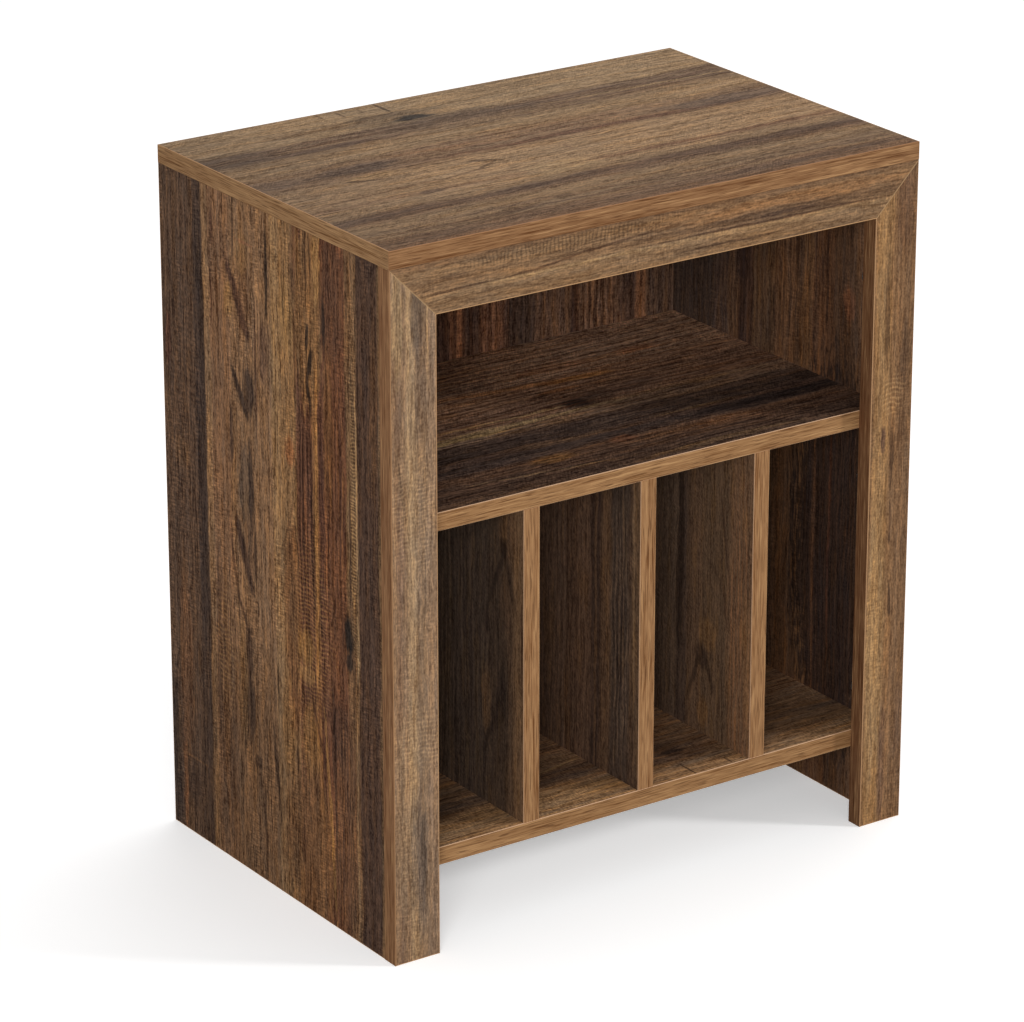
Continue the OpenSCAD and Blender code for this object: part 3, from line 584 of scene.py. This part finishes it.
right_divider_print = {**divider_look,
    "planks": [(38, (113, 86, 65)), (44, (101, 79, 61)), (24, (105, 81, 63)), (16, (91, 73, 62)),
        (230, (114, 93, 77))],
    "soft_patches": [
        ((164, -92), (30, 3.2), (58, 44, 36), 0.7, 1.1, -0.38),
        ((169, -112), (24, 3.2), (58, 44, 36), 0.65, 1.1, 0.4),
        ((180, -102), (14, 8), (64, 49, 41), 0.75, 1.0), ((120, -104), (16, 8), (128, 93, 60), 0.7),
        ((278, -119), (14, 2.4), (74, 54, 42), 0.4, 1.0, 1.2),
        ((248, -139), (21, 2.2), (70, 50, 39), 0.6, 1.0, 0.15),
        ((316, -137), (44, 2), (72, 53, 42), 0.7, 0.7, 0.16), ((206, -112), (17, 12), (124, 92, 61), 0.6),
        ((270, -64), (100, 6), (62, 48, 40), 0.8),
        ((220, -163), (160, 18), (138, 96, 66), 0.5, 0.7, 0, 0, 6),
        ((200, -175), (60, 8), (140, 104, 72), 0.5),
    ]}
board_finish("left_divider", "Z", left_divider_print, plain_print)
board_finish("centre_divider", "Z", centre_divider_print, plain_print)
board_finish("right_divider", "Z", right_divider_print, plain_print)

# ---------------------------------------------------------------------------------------------------
# Front frame. Two stiles and a head rail of the same board, mitred and splined at the corners, in a
# lighter and greyer print whose grain follows each board: upright on the stiles, level on the rail.

frame_look = {**brown_wood, "joint": 4, "wander": 6, "dark": (0.46, 0.40, 0.38, 1), "cover": 0.45,
    "pores": 0.4, "clouds": 0.4, "strength": 0.74, "ridges": 0.36, "scratches": 0.25}
left_stile_print = {**frame_look, "start": -302, "mitres": [((657, -275), -1)],
    "planks": [(7, (137, 109, 84)), (5, (125, 98, 77)), (7, (131, 104, 80)), (10, (150, 123, 94)),
        (11, (129, 105, 83)), (12, (135, 109, 86))],
    "soft_patches": [
        ((640, -271), (48, 6), (98, 82, 69), 0.85), ((640, -292), (62, 6), (152, 124, 90), 0.7),
        ((640, -281), (60, 1.2), (170, 138, 102), 0.7), ((630, -261), (70, 1.0), (160, 130, 96), 0.6),
        ((565, -268), (54, 6), (118, 96, 78), 0.65),
        ((480, -290), (40, 2.2), (102, 80, 62), 0.7, 0.7, -0.14),
        ((410, -291), (48, 5), (116, 92, 76), 0.65), ((100, -272), (62, 9), (104, 88, 76), 0.7, 0.9),
        ((110, -267), (37, 3.2), (84, 72, 63), 0.6),
        ((450, -275), (64, 28), (176, 144, 108), 0.28, 0.9, 0, 4.3),
        ((222, -270), (30, 24), (176, 144, 108), 0.3, 0.9, 0, 4.6),
        ((140, -291), (96, 6), (152, 124, 94), 0.55),
    ]}
right_stile_print = {**frame_look, "start": 250, "mitres": [((657, 275), 1)],
    "planks": [(3, (124, 93, 65)), (11, (145, 112, 77)), (8, (138, 105, 71)), (8, (129, 97, 68)),
        (10, (122, 92, 66)), (12, (115, 87, 63))],
    "soft_patches": [
        ((640, 287), (48, 10), (102, 76, 58), 0.75), ((530, 267.5), (54, 3), (88, 65, 46), 0.8),
        ((490, 290), (32, 5), (94, 72, 55), 0.7), ((450, 276), (20, 14), (170, 134, 94), 0.5, 0.7, 0, 5),
        ((390, 277), (34, 3), (80, 59, 44), 0.85), ((406, 265.5), (13, 3), (88, 65, 54), 0.85),
        ((210, 262), (140, 10), (158, 125, 87), 0.55), ((320, 277.5), (24, 1.2), (80, 58, 44), 0.8),
        ((235, 278.5), (19, 1.6), (66, 49, 38), 0.85), ((60, 275), (64, 4.5), (112, 84, 65), 0.7),
        ((100, 295), (54, 5), (106, 80, 61), 0.6),
    ]}
rail_print = {**frame_look, "start": 632, "mitres": [((-275, 657), -1), ((275, 657), 1)],
    "planks": [(13, (126, 98, 71)), (9, (133, 105, 77)), (13, (122, 95, 70)), (11, (130, 101, 73)),
        (4, (114, 87, 64))],
    "soft_patches": [
        ((140, 660), (160, 5.5), (94, 71, 54), 0.6, 0.9), ((145, 659), (38, 2), (76, 57, 46), 0.7),
        ((150, 671), (160, 6), (136, 97, 64), 0.55, 0.9),
        ((-115, 673), (110, 8), (92, 72, 54), 0.65, 0.7, 0, 4.2),
        ((-235, 665), (22, 2), (92, 70, 54), 0.5),
        ((-100, 659), (88, 1.2), (86, 62, 46), 0.8, 0.7, 0.0875),
        ((-110, 651), (105, 1.4), (158, 128, 92), 0.6), ((-225, 652), (40, 1.4), (82, 59, 44), 0.8),
        ((130, 653.5), (135, 1.2), (76, 53, 40), 0.8), ((100, 650), (165, 2.0), (148, 118, 84), 0.5),
        ((80, 640), (54, 1.4), (80, 59, 44), 0.8),
    ],
    "slant": 0.0}
board_finish("left_stile", "upright front", left_stile_print, left_stile_print)
board_finish("right_stile", "upright front", right_stile_print, right_stile_print)
board_finish("head_rail", "level front", rail_print, rail_print)

# ---------------------------------------------------------------------------------------------------
# Edge bands. Strips with a light oak print, glued over the open edges of the boards. Their bevelled
# arrises show the paler base of the strip, lightened further as a painted highlight, and the stiles'
# inner bands have a darker ground as painted shade.


def make_oak():
    """Light oak: soft streaks and short dark flecks along the band."""
    takes = {"Print": "Vector", "Ground": "Color"}
    tree, given, result = open_group("oak print", takes, {"Color": "Color", "Relief": "Float"})
    tone = 0.5
    for length, breadth, offset, weight in ((140, 5, 2.2, 0.9), (60, 1.5, 3.9, 1.3), (22, 0.8, 7.4, 1.3)):
        noise = swing(tree, given["Print"], length, breadth, offset=offset)
        tone = reckon(tree, "MULTIPLY_ADD", noise, weight, tone)
    dark = blend(tree, 1.0, given["Ground"], swatch(178, 154, 128), "MULTIPLY")
    pale = blend(tree, 0.35, given["Ground"], swatch(220, 174, 122))
    colour = blend(tree, ramp_up(tree, tone, 0.5, 1.0), given["Ground"], dark)
    colour = blend(tree, ramp_up(tree, tone, 0.5, 0.0), colour, pale)
    fleck_noise = grain_noise(tree, given["Print"], length=20, breadth=0.8, detail=0.0, offset=6.1)
    flecks = reckon(tree, "MULTIPLY", ramp_up(tree, fleck_noise, 0.60, 0.70), 0.6)
    colour = blend(tree, flecks, colour, swatch(84, 53, 32))
    tree.links.new(colour, result["Color"])
    tree.links.new(reckon(tree, "MULTIPLY_ADD", tone, -0.5, 1.0), result["Relief"])
    return tree


oak_print = make_oak()


def band_finish(bands, grain, facing, ground, arris_and_highlight=swatch(186, 144, 102)):
    """Finish of bands whose grain runs along one axis and whose broad face looks along another. Ground is
    the colour of their broad face, and the last colour that of their bevelled edges: the paler base of
    the strip, lightened as a painted highlight."""
    material, tree, in_mm = open_material(f"oak_{bands[0]}")
    parts = put(tree, "SeparateXYZ", {0: in_mm}).outputs
    across, through = (axis for axis in "XYZ" if axis != grain)
    side = reckon(tree, "ADD", parts[across], parts[through])
    place = put(tree, "CombineXYZ", {"X": parts[grain], "Y": side, "Z": parts[through]}).outputs[0]
    wood = put_group(tree, oak_print, {"Print": place, "Ground": ground})
    normal = put(tree, "NewGeometry").outputs["Normal"]
    square = reckon(tree, "ABSOLUTE", put(tree, "SeparateXYZ", {0: normal}).outputs[facing])
    colour = blend(tree, ramp_up(tree, square, 0.9, 0.98), arris_and_highlight, wood["Color"])
    roughness = ramp_up(tree, wood["Relief"], 0.3, 1.1, 0.62, 0.46)
    close_material(tree, colour, wood["Relief"], roughness, gloss=0.07)
    for band in bands:
        finish_node(band, material)


top_bands = ["top_front_band", "top_rear_band"]
top_end_bands = ["top_left_band", "top_right_band"]
shelf_bands = ["middle_shelf_band", "bottom_shelf_band"]
upright_bands = ["left_divider_band", "centre_divider_band", "right_divider_band", "left_side_rear_band",
    "right_side_rear_band"]
outer_bands = ["left_stile_outer_band", "right_stile_outer_band"]
inner_bands = ["left_stile_inner_band", "right_stile_inner_band"]
level_bands = ["head_rail_band", "back_lower_band", "left_stile_foot_band", "right_stile_foot_band"]
side_foot_bands = ["left_side_foot_band", "right_side_foot_band"]
# The second colour, or the default where none is given, is for the arrises: the strip's paler base,
# lightened as a painted highlight, most on the shelf and upright bands.
band_finish(top_bands, "X", "Y", swatch(137, 99, 66), swatch(152, 110, 76))
band_finish(shelf_bands, "X", "Y", swatch(151, 112, 74), swatch(212, 172, 138))
band_finish(top_end_bands, "Y", "X", swatch(154, 117, 80), swatch(172, 132, 94))
band_finish(upright_bands, "Z", "Y", swatch(152, 112, 75), swatch(190, 150, 116))
band_finish(outer_bands, "Z", "X", swatch(135, 96, 65), swatch(154, 116, 82))
# The stiles' inner bands get a darker ground than the other bands of the same oak strip: painted shade
# inside the opening.
band_finish(inner_bands, "Z", "X", swatch(116, 80, 54), swatch(176, 136, 98))
band_finish(level_bands, "X", "Z", swatch(148, 108, 72))
band_finish(side_foot_bands, "Y", "Z", swatch(148, 108, 72))

# ---------------------------------------------------------------------------------------------------
# Cam fittings and screws. Cast zinc drums with a cross recess sit in bores and draw in zinc-plated steel
# bolts. Screws of the same steel hold the dividers and the back.


def metal_finish(name, pale, dark, spots, polished, dull):
    """Bare metal with fine mottling, duller in the dark spots. Spots is their size in mm."""
    material, tree, in_mm = open_material(name)
    mottle = grain_noise(tree, in_mm, spots, spots, detail=3.0)
    colour = blend(tree, ramp_up(tree, mottle, 0.35, 0.65), dark, pale)
    roughness = ramp_up(tree, mottle, 0.3, 0.7, dull, polished)
    close_material(tree, colour, mottle, roughness, depth=0.0001, gloss=0.5, metal=1.0)
    return material


cast_zinc = metal_finish("cast_zinc", pale=swatch(196, 198, 200), dark=swatch(150, 152, 156), spots=1.6,
    polished=0.38, dull=0.55)
plated_steel = metal_finish("plated_steel", pale=swatch(206, 204, 196), dark=swatch(164, 160, 146),
    spots=2.4, polished=0.25, dull=0.4)
for place in ("top", "stile", "shelf", "back"):
    finish_node(place + "_cam_housings", cast_zinc)
    finish_node(place + "_cam_bolts", plated_steel)
finish_node("divider_screws", plated_steel)
finish_node("back_screws", plated_steel)

# ---------------------------------------------------------------------------------------------------
# Dowels and splines. Dowels turned from beech sit beside the cams and above the dividers, and a beech
# spline lies inside each mitre of the front frame. All are glued in.

beech, beech_tree, beech_place = open_material("beech")
rays = grain_noise(beech_tree, beech_place, length=6, breadth=1.2)
ray_share = ramp_up(beech_tree, rays, 0.35, 0.65)
beech_colour = blend(beech_tree, ray_share, swatch(214, 178, 132), swatch(190, 150, 104))
beech_roughness = ramp_up(beech_tree, rays, 0.3, 0.7, 0.55, 0.7)
close_material(beech_tree, beech_colour, rays, beech_roughness, depth=0.0001)
for pegs in ("top_dowels", "stile_dowels", "shelf_dowels", "back_dowels", "divider_dowels", "mitre_splines"):
    finish_node(pegs, beech)

# ---------------------------------------------------------------------------------------------------
# Studio. A pale floor, a plain white surround, three soft lamps and the camera, which stands high on
# the left as in the photograph.

floor_size = 60.0
floor_lift = 0.34
bpy.ops.object.select_all(action="DESELECT")
bpy.ops.mesh.primitive_plane_add(size=floor_size, location=(0, 0, 0))
floor = bpy.context.active_object
floor.name = "studio_floor"
floor_finish = bpy.data.materials.new("studio_floor")
floor_finish.use_nodes = True
floor_tree = floor_finish.node_tree
floor_tree.nodes.clear()
floor_seen = put(floor_tree, "LightPath").outputs["Is Camera Ray"]
floor_colour = blend(floor_tree, floor_seen, (0.5, 0.5, 0.5, 1), (1.0, 1.0, 1.0, 1))
floor_glow = blend(floor_tree, floor_seen, (0, 0, 0, 1), (1, 1, 1, 1))
floor_shader = put(floor_tree, "BsdfPrincipled", {"Base Color": floor_colour, "Roughness": 1.0,
    "Specular IOR Level": 0.0, "Emission Color": floor_glow, "Emission Strength": floor_lift})
put(floor_tree, "OutputMaterial", {"Surface": floor_shader.outputs[0]})
floor.data.materials.append(floor_finish)

surround_strength = 0.45
surround = bpy.data.worlds.new("studio_surround")
bpy.context.scene.world = surround
surround.use_nodes = True
sky = surround.node_tree
sky.nodes.clear()
sky_path = put(sky, "LightPath").outputs
mirrored = reckon(sky, "MAXIMUM", sky_path["Is Glossy Ray"], sky_path["Is Transmission Ray"])
seen = reckon(sky, "MAXIMUM", sky_path["Is Camera Ray"], mirrored)
level = reckon(sky, "MULTIPLY_ADD", seen, 1 - surround_strength, surround_strength)
sky_light = put(sky, "Background", {"Color": (1, 1, 1, 1), "Strength": level})
put(sky, "OutputWorld", {"Surface": sky_light.outputs[0]})

stand_middle = Vector((0, 0, 0.35))


def hang_lamp(name, turn, height, distance, size, light):
    """A round soft lamp. Turn is its direction from the front, to the right, and height its angle above
    the floor. Light is the share of white that it gives a sheet held square to it at the stand."""
    lamp = bpy.data.lights.new(name, "AREA")
    lamp.shape = "DISK"
    lamp.size = size
    lamp.energy = light * (math.pi * distance) ** 2
    thing = bpy.data.objects.new(name, lamp)
    bpy.context.scene.collection.objects.link(thing)
    flat = distance * math.cos(height)
    rise = distance * math.sin(height)
    thing.location = stand_middle + Vector((flat * math.sin(turn), -flat * math.cos(turn), rise))
    thing.rotation_euler = (stand_middle - thing.location).to_track_quat("-Z", "Y").to_euler()


hang_lamp("right_lamp", turn=math.radians(50), height=math.radians(19.5), distance=7.0, size=0.9,
    light=0.42)
hang_lamp("camera_lamp", turn=math.radians(-40), height=math.radians(18), distance=4.5, size=1.6,
    light=0.42)
hang_lamp("overhead_lamp", turn=math.radians(130), height=math.radians(67), distance=4.0, size=2.6,
    light=0.25)

sensor_width = 36
lens_length = 171.7
camera_place = (-2.5336, -3.6442, 2.0263)
camera_turn = math.radians(-34.48)
camera_drop = math.radians(20.95)
camera_data = bpy.data.cameras.new("camera")
camera_data.sensor_width = sensor_width
camera_data.lens = lens_length
camera = bpy.data.objects.new("camera", camera_data)
bpy.context.scene.collection.objects.link(camera)
camera.location = camera_place
camera.rotation_euler = (math.pi / 2 - camera_drop, 0, camera_turn)
bpy.context.scene.camera = camera
bpy.context.scene.view_settings.view_transform = "Standard"
